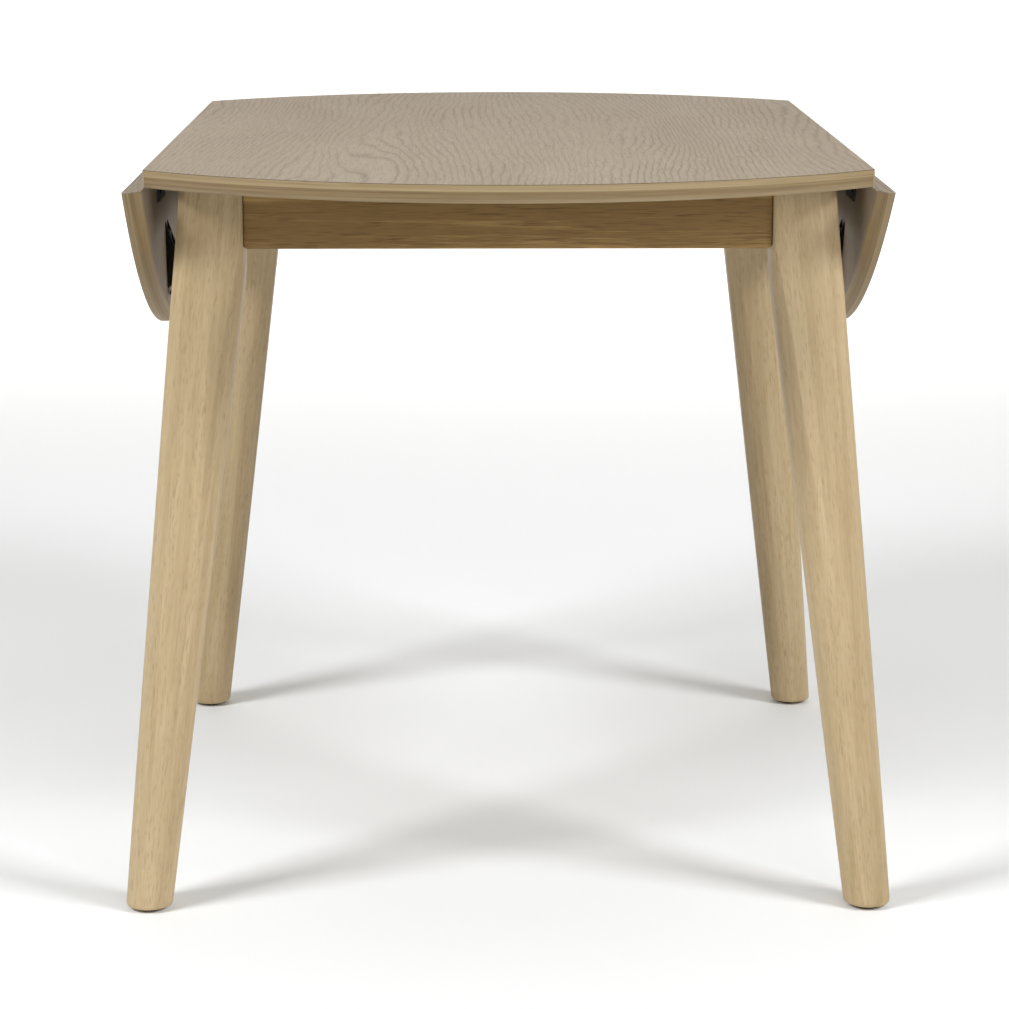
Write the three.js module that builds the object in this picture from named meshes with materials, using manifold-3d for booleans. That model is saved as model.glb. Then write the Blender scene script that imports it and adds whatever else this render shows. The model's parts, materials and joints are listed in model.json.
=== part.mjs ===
// Round drop leaf table: a fixed middle panel on four splayed legs, with a hinged half-moon leaf
// on each side. The leaves hang down at rest. Two steel stay arms under each leaf swing out with
// it and brace it when it is level.
//
// Millimetres, +Z up, origin on the floor under the table's centre. X runs across the leaves,
// Y runs along the hinge lines, and the front is -Y.
import * as THREE from 'three';
import { mergeVertices } from 'three/addons/utils/BufferGeometryUtils.js';
import Module from 'manifold-3d';

const wasm = await Module();
wasm.setup();

// ---- Driving dimensions ------------------------------------------------------------------------

const GAP = 0.3; // clearance between pieces that touch

const TABLE_HEIGHT = 750;
const TOP_RADIUS = 530;
const HINGE_LINE_X = 350; // half the width of the middle panel
const BOARD_THICKNESS = 18;
const LEAF_JOINT_GAP = 0.6;
const LEFT_REST_TILT = 1; // degrees that a hanging leaf leans in under the table
const RIGHT_REST_TILT = 3;
const LIPPING_WIDTH = 8;
const EDGE_BEVEL_IN = 6.2; // how far the underside of the rim is bevelled in
const EDGE_BEVEL_HEIGHT = 11.5;
const RIM_SEGMENTS = 240;

const LEG_INNER = { x: 260.9, y: 267.2 }; // upright inner faces of a leg between the aprons
const LEG_KNEE_CENTRE = { x: 292.8, y: 299.1 }; // level with the lower edge of the aprons
const LEG_FOOT_CENTRE = { x: 364.7, y: 373.4 };
const LEG_KNEE_WIDTH = 71;
const LEG_FOOT_WIDTH = 47;
const LEG_BOW = 1.2; // extra width halfway down
const CORNER_GROWTH = 0.55; // how early the corners round off below the aprons
const LEG_EDGE_RADIUS = 3; // corners beside the aprons
const OUTER_CORNER_RADIUS = { knee: 11, top: 7 }; // the corner that faces away from the table
const FOOT_ROUNDING = [[0, 3], [1, 1.2], [4, 0]]; // height above the foot, inset
const GLIDE_HEIGHT = 3;
const GLIDE_RADIUS = 15;

const APRON_HEIGHT = 68;
const APRON_THICKNESS = 20;
const APRON_FACE = { x: 316.4, y: 322.7 }; // outer faces, about 8 behind those of the legs
const APRON_CORNER_RADIUS = 5;

const BLOCK_THICKNESS = 22;
const BLOCK_HEIGHT = 56;
const BOLT_RADIUS = 4;
const BOLT_LENGTH = 78;
const BOLT_PAST_NUT = 6; // thread showing behind the nut
const NUT_HEIGHT = 8;
const NUT_RADIUS = 7.5; // across the corners
const NUT_FLANGE = { radius: 10, thickness: 2 };

const HINGE_PIVOT_DROP = 2.8; // hinge axis below the underside of the boards
const HINGE_Y = 212; // from the table's centre to the middle of a hinge
const HINGE_LENGTH = 64;
const HINGE_REACH = 28; // from the hinge axis to the far edge of a plate
const HINGE_PLATE = 1.5;
const KNUCKLE_RADIUS = 2.5;
const KNUCKLE_COUNT = 5;
const KNUCKLE_GAP = 0.4;
const HINGE_PIN_RADIUS = 1.1;

const STAY_Y = 166; // from the table's centre to the middle of a stay
const STAY_PIVOT_IN = 25; // stay pivot inside the hinge axis
const STAY_PIVOT_DOWN = 28; // stay pivot below the hinge axis
const STAY_REACH = 102; // nose from the stay pivot, along the level leaf
const STAY_RISE = 21.9; // nose from the stay pivot, upwards, with the leaf level
const ARM_THICKNESS = 5;
const ARM_HEEL_RADIUS = 5.5;
const ARM_NECK_HALF_DEPTH = 3.2;
const NOSE_RADIUS = 4;
const NOSE_WIDTH = 14;
const STAY_PIN_RADIUS = 2.5;

const CATCH_START = 56; // from the hinge axis along the leaf's underside
const CATCH_END = 125;
const CATCH_WIDTH = 26;
const CHANNEL_WIDTH = 15.4;
const CATCH_FLOOR = 1.8;
const CATCH_SEAT = 4.2; // under the nose of the arm
const CATCH_CHEEK = [[0, 0], [33, 10.5], [45, 15], [55, 15], [62, 8], [69, 0]]; // along, height
const TOOTH_START = 82.6;
const TOOTH_WIDTH = 3.4;
const TOOTH_HEIGHT = 7.4;
const TOOTH_BACK = 11; // where the slope behind the tooth reaches the floor

// ---- Derived levels ----------------------------------------------------------------------------

const UNDERSIDE_Z = TABLE_HEIGHT - BOARD_THICKNESS;
const PIVOT_Z = UNDERSIDE_Z - HINGE_PIVOT_DROP;
const FRAME_TOP_Z = UNDERSIDE_Z - GAP;
const APRON_BOTTOM_Z = UNDERSIDE_Z - APRON_HEIGHT;
const LEAF_EDGE_X = HINGE_LINE_X + LEAF_JOINT_GAP;

// ---- Materials ---------------------------------------------------------------------------------

const material = (color, roughness, metalness) =>
  new THREE.MeshStandardMaterial({ color, roughness, metalness });

const OAK_VENEER = material(0xae9b84, 0.55, 0);
const OAK_LIPPING = material(0xb5a078, 0.5, 0);
const OAK_LEG = material(0xbfa67c, 0.55, 0);
const OAK_APRON = material(0x8f7650, 0.6, 0);
const PINE_BLOCK = material(0xc4ab82, 0.7, 0);
const ZINC_STEEL = material(0xa9adb1, 0.35, 0.9);
const BLACK_STEEL = material(0x17181a, 0.45, 0.3);
const BLACK_PLASTIC = material(0x1c1b1a, 0.6, 0);

// ---- Geometry helpers --------------------------------------------------------------------------

function toSolid(geometry) {
  const bare = geometry.clone();
  bare.deleteAttribute('normal');
  bare.deleteAttribute('uv');
  const merged = mergeVertices(bare, 1e-4);
  const corners = merged.index.array;
  const triangles = [];
  for (let i = 0; i < corners.length; i += 3) {
    const [a, b, c] = corners.slice(i, i + 3);
    if (a !== b && b !== c && c !== a) {
      triangles.push(a, b, c);
    }
  }
  const vertProperties = new Float32Array(merged.attributes.position.array);
  const triVerts = new Uint32Array(triangles);
  return new wasm.Manifold(new wasm.Mesh({ numProp: 3, vertProperties, triVerts }));
}

function toGeometry(solid) {
  const { vertProperties, triVerts } = solid.getMesh();
  const geometry = new THREE.BufferGeometry();
  geometry.setAttribute('position', new THREE.BufferAttribute(vertProperties, 3));
  geometry.setIndex(new THREE.BufferAttribute(triVerts, 1));
  geometry.computeVertexNormals();
  return geometry;
}

const cut = (body, ...tools) =>
  toGeometry(tools.reduce((solid, tool) => solid.subtract(toSolid(tool)), toSolid(body)));

const join = (...bodies) =>
  toGeometry(bodies.map(toSolid).reduce((solid, body) => solid.add(body)));

const overlap = (first, second) => toGeometry(toSolid(first).intersect(toSolid(second)));

function box(low, high) {
  const size = high.map((value, i) => value - low[i]);
  const middle = high.map((value, i) => (value + low[i]) / 2);
  return new THREE.BoxGeometry(...size).translate(...middle);
}

// A cylinder along Y, centred at x, z.
function rodY(radius, fromY, toY, x, z, segments) {
  const rod = new THREE.CylinderGeometry(radius, radius, toY - fromY, segments);
  return rod.translate(x, (fromY + toY) / 2, z);
}

// An outline drawn in X and Z, extruded along Y.
function slabY(shape, fromY, toY, curveSegments = 6) {
  const depth = toY - fromY;
  const slab = new THREE.ExtrudeGeometry(shape, { depth, bevelEnabled: false, curveSegments });
  return slab.rotateX(Math.PI / 2).translate(0, toY, 0);
}

// An outline drawn in X and Y, extruded upwards.
function slabZ(shape, fromZ, toZ) {
  const slab = new THREE.ExtrudeGeometry(shape, { depth: toZ - fromZ, bevelEnabled: false });
  return slab.translate(0, 0, fromZ);
}

const outline = (points) => new THREE.Shape(points.map(([x, y]) => new THREE.Vector2(x, y)));

// A closed skin over a stack of rings that all have the same number of points.
function loft(rings) {
  const count = rings[0].length;
  const positions = rings.flat().flatMap((point) => point.toArray());
  const faces = [];
  for (let i = 0; i < rings.length - 1; i += 1) {
    for (let j = 0; j < count; j += 1) {
      const a = i * count + j;
      const b = i * count + ((j + 1) % count);
      faces.push(a, b, b + count, a, b + count, a + count);
    }
  }
  const last = (rings.length - 1) * count;
  for (let j = 1; j < count - 1; j += 1) {
    faces.push(0, j + 1, j, last, last + j, last + j + 1);
  }
  const geometry = new THREE.BufferGeometry();
  geometry.setAttribute('position', new THREE.Float32BufferAttribute(positions, 3));
  geometry.setIndex(faces);
  geometry.computeVertexNormals();
  return geometry;
}

function piece(parent, name, geometry, finish) {
  const mesh = new THREE.Mesh(geometry, finish);
  mesh.name = name;
  parent.add(mesh);
}

// ---- Top and leaves ----------------------------------------------------------------------------

// The whole round top as one turned disc; its rim is bevelled below when bevelled is true.
function roundTop(radius, bevelled) {
  const rim = bevelled
    ? [[radius - EDGE_BEVEL_IN, UNDERSIDE_Z], [radius, UNDERSIDE_Z + EDGE_BEVEL_HEIGHT]]
    : [[radius, UNDERSIDE_Z]];
  const profile = [[0, UNDERSIDE_Z], ...rim, [radius, TABLE_HEIGHT], [0, TABLE_HEIGHT]];
  const points = profile.map(([r, z]) => new THREE.Vector2(r, z));
  return new THREE.LatheGeometry(points, RIM_SEGMENTS).rotateX(Math.PI / 2);
}

const BOARD_RADIUS = TOP_RADIUS - LIPPING_WIDTH;
const boardDisc = roundTop(BOARD_RADIUS, false);
const lippingRing = cut(roundTop(TOP_RADIUS, true), roundTop(BOARD_RADIUS + GAP, false));

// A box over the whole thickness of the top, between two X and two Y limits.
const topZone = (fromX, toX, fromY, toY) =>
  box([fromX, fromY, UNDERSIDE_Z - 1], [toX, toY, TABLE_HEIGHT + 1]);

function addTop(table) {
  const panelZone = topZone(-HINGE_LINE_X, HINGE_LINE_X, -TOP_RADIUS, TOP_RADIUS);
  const frontZone = topZone(-HINGE_LINE_X, HINGE_LINE_X, -TOP_RADIUS, 0);
  const rearZone = topZone(-HINGE_LINE_X, HINGE_LINE_X, 0, TOP_RADIUS);
  piece(table, 'top_panel', overlap(boardDisc, panelZone), OAK_VENEER);
  piece(table, 'top_lipping_front', overlap(lippingRing, frontZone), OAK_LIPPING);
  piece(table, 'top_lipping_rear', overlap(lippingRing, rearZone), OAK_LIPPING);
}

// ---- Legs, glides, aprons ----------------------------------------------------------------------

const mix = (from, to, share) => from + (to - from) * share;

// Faces and corner radii of a leg at a height. The outer faces run straight from the foot to the
// top; the inner faces are cut upright between the aprons. The corners start tight below the
// aprons and grow until the foot is round.
function legSection(z) {
  const share = z / APRON_BOTTOM_Z;
  const bow = 4 * LEG_BOW * share * (1 - share);
  const half = (mix(LEG_FOOT_WIDTH, LEG_KNEE_WIDTH, share) + bow) / 2;
  const x = mix(LEG_FOOT_CENTRE.x, LEG_KNEE_CENTRE.x, share);
  const y = mix(LEG_FOOT_CENTRE.y, LEG_KNEE_CENTRE.y, share);
  const below = Math.max(1 - share, 0);
  const corner = mix(LEG_EDGE_RADIUS, half, below ** CORNER_GROWTH);
  const rise = Math.max(z - APRON_BOTTOM_Z, 0) / APRON_HEIGHT;
  const outerCorner = mix(OUTER_CORNER_RADIUS.knee, OUTER_CORNER_RADIUS.top, rise);
  return {
    low: [Math.max(x - half, LEG_INNER.x), Math.max(y - half, LEG_INNER.y)],
    high: [x + half, y + half],
    corner,
    outerCorner: Math.max(corner, outerCorner),
  };
}

const CORNER_STEPS = 5; // straight steps that round each corner of a leg
const CORNER_MARGIN = 0.02; // of a quarter turn, left out at both ends of a corner
const LEG_SHARES = [0.15, 0.3, 0.45, 0.6, 0.72, 0.82, 0.9, 0.956, 0.985, 1];

function legRing(signX, signY, z, inset) {
  const { low, high, corner, outerCorner } = legSection(z);
  const widest = Math.min(high[0] - low[0], high[1] - low[1]) / 2 - inset;
  const ring = [];
  for (let quarter = 0; quarter < 4; quarter += 1) {
    const radius = Math.min(Math.max((quarter === 0 ? outerCorner : corner) - inset, 1), widest);
    const outX = quarter === 0 || quarter === 3;
    const outY = quarter < 2;
    const x = outX ? high[0] - inset - radius : low[0] + inset + radius;
    const y = outY ? high[1] - inset - radius : low[1] + inset + radius;
    for (let step = 0; step <= CORNER_STEPS; step += 1) {
      const turned = mix(CORNER_MARGIN, 1 - CORNER_MARGIN, step / CORNER_STEPS);
      const angle = ((quarter + turned) * Math.PI) / 2;
      const ringX = signX * (x + radius * Math.cos(angle));
      const ringY = signY * (y + radius * Math.sin(angle));
      ring.push(new THREE.Vector3(ringX, ringY, z));
    }
  }
  return signX * signY > 0 ? ring : ring.reverse();
}

function legBody(signX, signY) {
  const footZ = GLIDE_HEIGHT + GAP;
  const levels = FOOT_ROUNDING.map(([rise, inset]) => [footZ + rise, inset]);
  LEG_SHARES.forEach((share) => levels.push([share * APRON_BOTTOM_Z, 0]));
  levels.push([FRAME_TOP_Z, 0]);
  return loft(levels.map(([z, inset]) => legRing(signX, signY, z, inset)));
}

const BOLT_Z = APRON_BOTTOM_Z + APRON_HEIGHT / 2;

// Distance from the table's centre to the corner block's outer face, along the diagonal.
const BLOCK_OUTER = (LEG_INNER.x + LEG_INNER.y) / Math.SQRT2 - GAP;
const BLOCK_INNER = BLOCK_OUTER - BLOCK_THICKNESS;

// An apron centred on the origin along X, with its outer face at y = 0 and its lower corners
// rounded, standing between the leg faces at -reach and +reach.
function apronBody(reach) {
  const half = reach - GAP;
  const low = APRON_BOTTOM_Z;
  const shape = new THREE.Shape();
  shape.moveTo(-half, FRAME_TOP_Z);
  shape.lineTo(-half, low + APRON_CORNER_RADIUS);
  shape.quadraticCurveTo(-half, low, -half + APRON_CORNER_RADIUS, low);
  shape.lineTo(half - APRON_CORNER_RADIUS, low);
  shape.quadraticCurveTo(half, low, half, low + APRON_CORNER_RADIUS);
  shape.lineTo(half, FRAME_TOP_Z);
  return slabY(shape, 0, APRON_THICKNESS, 4);
}

// A cylinder along the diagonal of a corner, between two distances from the table's centre.
function diagonalRod(signX, signY, radius, from, to, segments) {
  const rod = new THREE.CylinderGeometry(radius, radius, to - from, segments);
  rod.rotateZ(-Math.PI / 2).translate((from + to) / 2, 0, BOLT_Z);
  return rod.rotateZ(Math.atan2(signY, signX));
}

function cornerBlock(signX, signY) {
  const limitX = APRON_FACE.x - APRON_THICKNESS - GAP;
  const limitY = APRON_FACE.y - APRON_THICKNESS - GAP;
  const outer = BLOCK_OUTER * Math.SQRT2;
  const inner = BLOCK_INNER * Math.SQRT2;
  const corners = [
    [limitX, outer - limitX],
    [outer - limitY, limitY],
    [inner - limitY, limitY],
    [limitX, inner - limitX],
  ];
  const shape = outline(corners.map(([x, y]) => [signX * x, signY * y]));
  const body = slabZ(shape, BOLT_Z - BLOCK_HEIGHT / 2, BOLT_Z + BLOCK_HEIGHT / 2);
  const hole = diagonalRod(signX, signY, BOLT_RADIUS + GAP, BLOCK_INNER - 5, BLOCK_OUTER + 5, 16);
  return cut(body, hole);
}

// A nut with a round flange against the block, bored for the bolt.
function flangeNut(signX, signY) {
  const face = BLOCK_INNER - GAP;
  const back = face - NUT_HEIGHT;
  const flangeBack = face - NUT_FLANGE.thickness;
  const flange = diagonalRod(signX, signY, NUT_FLANGE.radius, flangeBack, face, 20);
  const hexagon = diagonalRod(signX, signY, NUT_RADIUS, back, face - 1, 6);
  const bore = diagonalRod(signX, signY, BOLT_RADIUS + GAP, back - 1, face + 1, 12);
  return cut(join(flange, hexagon), bore);
}

function footGlide(signX, signY) {
  const glide = new THREE.CylinderGeometry(GLIDE_RADIUS, GLIDE_RADIUS - 1, GLIDE_HEIGHT, 20);
  glide.rotateX(Math.PI / 2);
  const { x, y } = LEG_FOOT_CENTRE;
  return glide.translate(signX * x, signY * y, GLIDE_HEIGHT / 2);
}

function addCorner(table, place, signX, signY) {
  const boltFrom = BLOCK_INNER - NUT_HEIGHT - BOLT_PAST_NUT;
  const boltTo = boltFrom + BOLT_LENGTH;
  const holeFrom = BLOCK_OUTER - BLOCK_THICKNESS;
  const hole = diagonalRod(signX, signY, BOLT_RADIUS + GAP, holeFrom, boltTo + GAP, 16);
  const bolt = diagonalRod(signX, signY, BOLT_RADIUS, boltFrom, boltTo, 12);
  piece(table, `leg_${place}`, cut(legBody(signX, signY), hole), OAK_LEG);
  piece(table, `foot_glide_${place}`, footGlide(signX, signY), BLACK_PLASTIC);
  piece(table, `corner_block_${place}`, cornerBlock(signX, signY), PINE_BLOCK);
  piece(table, `leg_bolt_${place}`, bolt, ZINC_STEEL);
  piece(table, `leg_nut_${place}`, flangeNut(signX, signY), ZINC_STEEL);
}

function addFrame(table) {
  addCorner(table, 'front_left', -1, -1);
  addCorner(table, 'front_right', 1, -1);
  addCorner(table, 'rear_left', -1, 1);
  addCorner(table, 'rear_right', 1, 1);
  const endApron = () => apronBody(LEG_INNER.x).translate(0, -APRON_FACE.y, 0);
  const sideApron = () => apronBody(LEG_INNER.y).translate(0, -APRON_FACE.x, 0);
  piece(table, 'apron_front', endApron(), OAK_APRON);
  piece(table, 'apron_rear', endApron().rotateZ(Math.PI), OAK_APRON);
  piece(table, 'apron_left', sideApron().rotateZ(-Math.PI / 2), OAK_APRON);
  piece(table, 'apron_right', sideApron().rotateZ(Math.PI / 2), OAK_APRON);
}

// ---- Hinges ------------------------------------------------------------------------------------

// One hinge plate with its knuckles, drawn for a level leaf. facing is 1 for the plate under the
// leaf and -1 for the plate under the middle panel; the knuckles alternate between the two.
function hingePlate(middleY, facing, firstKnuckle) {
  const topZ = UNDERSIDE_Z - GAP;
  const startY = middleY - HINGE_LENGTH / 2;
  const pitch = HINGE_LENGTH / KNUCKLE_COUNT;
  const clear = KNUCKLE_RADIUS + KNUCKLE_GAP;
  const limits = [HINGE_LINE_X + facing * clear, HINGE_LINE_X + facing * HINGE_REACH];
  const [fromX, toX] = limits.sort((a, b) => a - b);
  const bodies = [box([fromX, startY, topZ - HINGE_PLATE], [toX, startY + HINGE_LENGTH, topZ])];
  for (let i = firstKnuckle; i < KNUCKLE_COUNT; i += 2) {
    const fromY = startY + i * pitch + KNUCKLE_GAP / 2;
    const toY = fromY + pitch - KNUCKLE_GAP;
    const reach = [HINGE_LINE_X, HINGE_LINE_X + facing * (clear + 1)].sort((a, b) => a - b);
    bodies.push(box([reach[0], fromY, topZ - HINGE_PLATE], [reach[1], toY, topZ]));
    bodies.push(rodY(KNUCKLE_RADIUS, fromY, toY, HINGE_LINE_X, PIVOT_Z, 16));
  }
  const pinHole = rodY(HINGE_PIN_RADIUS + GAP, startY - 5, startY + HINGE_LENGTH + 5,
    HINGE_LINE_X, PIVOT_Z, 10);
  return cut(join(...bodies), pinHole);
}

const hingePin = (middleY) =>
  rodY(HINGE_PIN_RADIUS, middleY - HINGE_LENGTH / 2, middleY + HINGE_LENGTH / 2,
    HINGE_LINE_X, PIVOT_Z, 10);

// ---- Leaf stays --------------------------------------------------------------------------------

const STAY_X = HINGE_LINE_X - STAY_PIVOT_IN;
const STAY_Z = PIVOT_Z - STAY_PIVOT_DOWN;

// The arm with the leaf level: a flat bar from the heel to a cross nose, tapering on the way.
function stayArm(middleY) {
  const noseX = STAY_X + STAY_REACH;
  const noseZ = STAY_Z + STAY_RISE;
  const slope = Math.atan2(STAY_RISE, STAY_REACH);
  const normal = [-Math.sin(slope), Math.cos(slope)];
  const beside = (x, z, distance) => [x + normal[0] * distance, z + normal[1] * distance];
  const bar = outline([
    beside(STAY_X, STAY_Z, -ARM_HEEL_RADIUS + 0.5),
    beside(noseX, noseZ, -ARM_NECK_HALF_DEPTH),
    beside(noseX, noseZ, ARM_NECK_HALF_DEPTH),
    beside(STAY_X, STAY_Z, ARM_HEEL_RADIUS - 0.5),
  ]);
  const fromY = middleY - ARM_THICKNESS / 2;
  const toY = middleY + ARM_THICKNESS / 2;
  const noseFrom = middleY - NOSE_WIDTH / 2;
  const body = join(
    slabY(bar, fromY, toY),
    rodY(ARM_HEEL_RADIUS, fromY, toY, STAY_X, STAY_Z, 20),
    rodY(NOSE_RADIUS, noseFrom, noseFrom + NOSE_WIDTH, noseX, noseZ, 20),
  );
  return cut(body, rodY(STAY_PIN_RADIUS + GAP, fromY - 5, toY + 5, STAY_X, STAY_Z, 12));
}

const LUG_GAP = ARM_THICKNESS + 1.4;
const LUG_THICKNESS = 2.5;
const BRACKET_HALF_WIDTH = 18;
const BRACKET_HALF_HEIGHT = 20;
const BRACKET_PLATE = 2;
const LUG_RADIUS = 6;

// A plate on the side apron with two lugs that carry the arm's pivot.
function stayBracket(middleY) {
  const backX = APRON_FACE.x + GAP;
  const plate = box(
    [backX, middleY - BRACKET_HALF_WIDTH, STAY_Z - BRACKET_HALF_HEIGHT],
    [backX + BRACKET_PLATE, middleY + BRACKET_HALF_WIDTH, STAY_Z + BRACKET_HALF_HEIGHT],
  );
  const lugs = [-1, 1].flatMap((side) => {
    const inner = middleY + side * (LUG_GAP / 2);
    const outer = inner + side * LUG_THICKNESS;
    const [fromY, toY] = [inner, outer].sort((a, b) => a - b);
    const web = box([backX + 1, fromY, STAY_Z - LUG_RADIUS], [STAY_X, toY, STAY_Z + LUG_RADIUS]);
    return [web, rodY(LUG_RADIUS, fromY, toY, STAY_X, STAY_Z, 20)];
  });
  const hole = rodY(STAY_PIN_RADIUS + GAP, middleY - 20, middleY + 20, STAY_X, STAY_Z, 12);
  return cut(join(plate, ...lugs), hole);
}

// A rivet through the lugs and the arm, with a head at each end.
function stayPin(middleY) {
  const shank = LUG_GAP / 2 + LUG_THICKNESS + GAP;
  const head = shank + 1.5;
  const headRadius = STAY_PIN_RADIUS + 1.6;
  const half = [[STAY_PIN_RADIUS, shank], [headRadius, shank], [headRadius - 0.5, head], [0, head]];
  const profile = [...half.map(([r, y]) => [r, -y]).reverse(), ...half];
  const points = profile.map(([r, y]) => new THREE.Vector2(r, y));
  return new THREE.LatheGeometry(points, 14).translate(STAY_X, middleY, STAY_Z);
}

// The catch under the leaf: two ramped cheeks and between them a floor with a tooth, behind which
// the arm's nose sits when the leaf is level. Distances run along the leaf from the hinge axis,
// heights down from its underside.
function leafCatch(middleY) {
  const place = ([along, height]) => [HINGE_LINE_X + along, UNDERSIDE_Z - GAP - height];
  const cheek = outline(CATCH_CHEEK.map(([along, height]) => place([CATCH_START + along, height])));
  const seat = CATCH_SEAT - GAP;
  const tooth = TOOTH_HEIGHT - GAP;
  const low = CATCH_FLOOR - GAP;
  const floor = outline([
    [CATCH_START + 8, 0], [CATCH_START + 10, seat], [TOOTH_START, seat],
    [TOOTH_START, tooth], [TOOTH_START + TOOTH_WIDTH, tooth],
    [TOOTH_START + TOOTH_BACK, low], [CATCH_END - 4, low], [CATCH_END - 4, 0],
  ].map(place));
  const half = CATCH_WIDTH / 2;
  const inner = CHANNEL_WIDTH / 2;
  return join(
    slabY(cheek, middleY - half, middleY - inner),
    slabY(cheek, middleY + inner, middleY + half),
    slabY(floor, middleY - half + 1, middleY + half - 1),
  );
}

// ---- Assembly ----------------------------------------------------------------------------------

// A group that holds pieces drawn with the leaf level and turns them down about a pivot, past
// the vertical by the tilt.
function hangingGroup(side, pivotX, pivotZ, tilt) {
  const turned = new THREE.Group();
  turned.position.set(pivotX, 0, pivotZ);
  turned.rotation.y = THREE.MathUtils.degToRad(90 + tilt);
  side.add(turned);
  const level = new THREE.Group();
  level.position.set(-pivotX, 0, -pivotZ);
  turned.add(level);
  return level;
}

// Everything that belongs to one leaf, drawn for +X; the left side is the same turned half round.
function addSide(table, sideName, turn, tilt) {
  const side = new THREE.Group();
  side.rotation.z = turn;
  table.add(side);
  const leaf = hangingGroup(side, HINGE_LINE_X, PIVOT_Z, tilt);
  const leafZone = topZone(LEAF_EDGE_X, TOP_RADIUS + 10, -TOP_RADIUS, TOP_RADIUS);
  piece(leaf, `leaf_${sideName}`, overlap(boardDisc, leafZone), OAK_VENEER);
  piece(leaf, `leaf_lipping_${sideName}`, overlap(lippingRing, leafZone), OAK_LIPPING);
  [-1, 1].forEach((signY) => {
    const isFront = (turn === 0) === (signY < 0);
    const place = `${isFront ? 'front' : 'rear'}_${sideName}`;
    const hingeY = signY * HINGE_Y;
    const stayY = signY * STAY_Y;
    piece(side, `hinge_plate_fixed_${place}`, hingePlate(hingeY, -1, 0), BLACK_STEEL);
    piece(side, `hinge_pin_${place}`, hingePin(hingeY), BLACK_STEEL);
    piece(leaf, `hinge_plate_leaf_${place}`, hingePlate(hingeY, 1, 1), BLACK_STEEL);
    piece(side, `stay_bracket_${place}`, stayBracket(stayY), BLACK_STEEL);
    piece(side, `stay_pin_${place}`, stayPin(stayY), ZINC_STEEL);
    piece(leaf, `stay_catch_${place}`, leafCatch(stayY), BLACK_STEEL);
    const arm = hangingGroup(side, STAY_X, STAY_Z, tilt);
    piece(arm, `stay_arm_${place}`, stayArm(stayY), BLACK_STEEL);
  });
}

const table = new THREE.Group();
addTop(table);
addFrame(table);
addSide(table, 'right', 0, RIGHT_REST_TILT);
addSide(table, 'left', Math.PI, LEFT_REST_TILT);

export default table;
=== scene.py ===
"""Looks of the round drop leaf table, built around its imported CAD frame.

Metres, +Z up, front at -Y. Boards, lippings and legs are remade here as fine meshes that stand for
their CAD nodes; aprons, blocks and hardware keep their CAD nodes and get rounded edges. Every wood
mesh carries a "grain" vector: x across the board, y along the grain, z through its thickness.
"""
import json
import math

import bmesh
import bpy
import numpy as np
from mathutils import Matrix, Vector


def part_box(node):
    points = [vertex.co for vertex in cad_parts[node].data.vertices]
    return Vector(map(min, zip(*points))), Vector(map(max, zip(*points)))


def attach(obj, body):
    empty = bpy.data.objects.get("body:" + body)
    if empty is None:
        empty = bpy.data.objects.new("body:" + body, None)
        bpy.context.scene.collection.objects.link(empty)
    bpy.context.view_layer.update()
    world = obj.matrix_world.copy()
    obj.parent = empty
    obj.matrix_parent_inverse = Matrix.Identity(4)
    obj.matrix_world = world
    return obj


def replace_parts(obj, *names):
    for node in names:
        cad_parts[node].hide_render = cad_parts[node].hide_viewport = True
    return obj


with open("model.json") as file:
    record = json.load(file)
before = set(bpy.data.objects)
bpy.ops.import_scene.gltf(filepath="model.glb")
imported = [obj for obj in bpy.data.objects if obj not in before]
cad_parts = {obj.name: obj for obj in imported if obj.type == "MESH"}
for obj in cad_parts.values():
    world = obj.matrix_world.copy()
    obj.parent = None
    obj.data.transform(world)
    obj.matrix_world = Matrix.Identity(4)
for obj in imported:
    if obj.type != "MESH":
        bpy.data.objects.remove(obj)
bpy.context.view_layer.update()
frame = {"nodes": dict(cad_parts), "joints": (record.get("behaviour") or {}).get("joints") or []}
NODES = frame["nodes"]
PLACES = ("front_left", "front_right", "rear_left", "rear_right")

# ---- Sizes read from the frame ------------------------------------------------------------------

PANEL_LOW, PANEL_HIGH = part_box("top_panel")
UNDERSIDE_Z = PANEL_LOW.z
TOP_Z = PANEL_HIGH.z
HINGE_LINE_X = PANEL_HIGH.x
TOP_RADIUS = -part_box("top_lipping_front")[0].y
BOARD_RADIUS = PANEL_HIGH.y
JOINTS = {joint["name"]: joint for joint in frame["joints"]}


# ---- Scene: camera, light, floor ----------------------------------------------------------------

CAMERA_PLACE = (-0.0373, -3.270, 1.052)
CAMERA_DOWN, CAMERA_YAW = 12.36, -0.655  # degrees
CAMERA_LENS, CAMERA_SENSOR = 107.24, 36.0  # millimetres
SKY_COLOUR, SKY_STRENGTH = (1.0, 0.92, 0.82, 1.0), 0.13
DAYLIGHT = (0.94, 0.97, 1.0)
FLOOR_COLOUR = (0.85, 0.85, 0.84)
FLOOR_HALF_WIDTH = 9.0
FLOOR_FRONT, FLOOR_BACK = -9.0, 6.0
SWEEP_RADIUS, SWEEP_HEIGHT, SWEEP_STEPS = 2.0, 5.0, 16


def add_camera():
    """A long lens, a little left of centre and looking slightly down."""
    data = bpy.data.cameras.new("camera")
    data.sensor_width = CAMERA_SENSOR
    data.lens = CAMERA_LENS
    data.clip_end = 100.0
    camera = bpy.data.objects.new("camera", data)
    camera.location = CAMERA_PLACE
    camera.rotation_euler = (math.radians(90.0 - CAMERA_DOWN), 0.0, math.radians(CAMERA_YAW))
    bpy.context.scene.collection.objects.link(camera)
    bpy.context.scene.camera = camera


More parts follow.
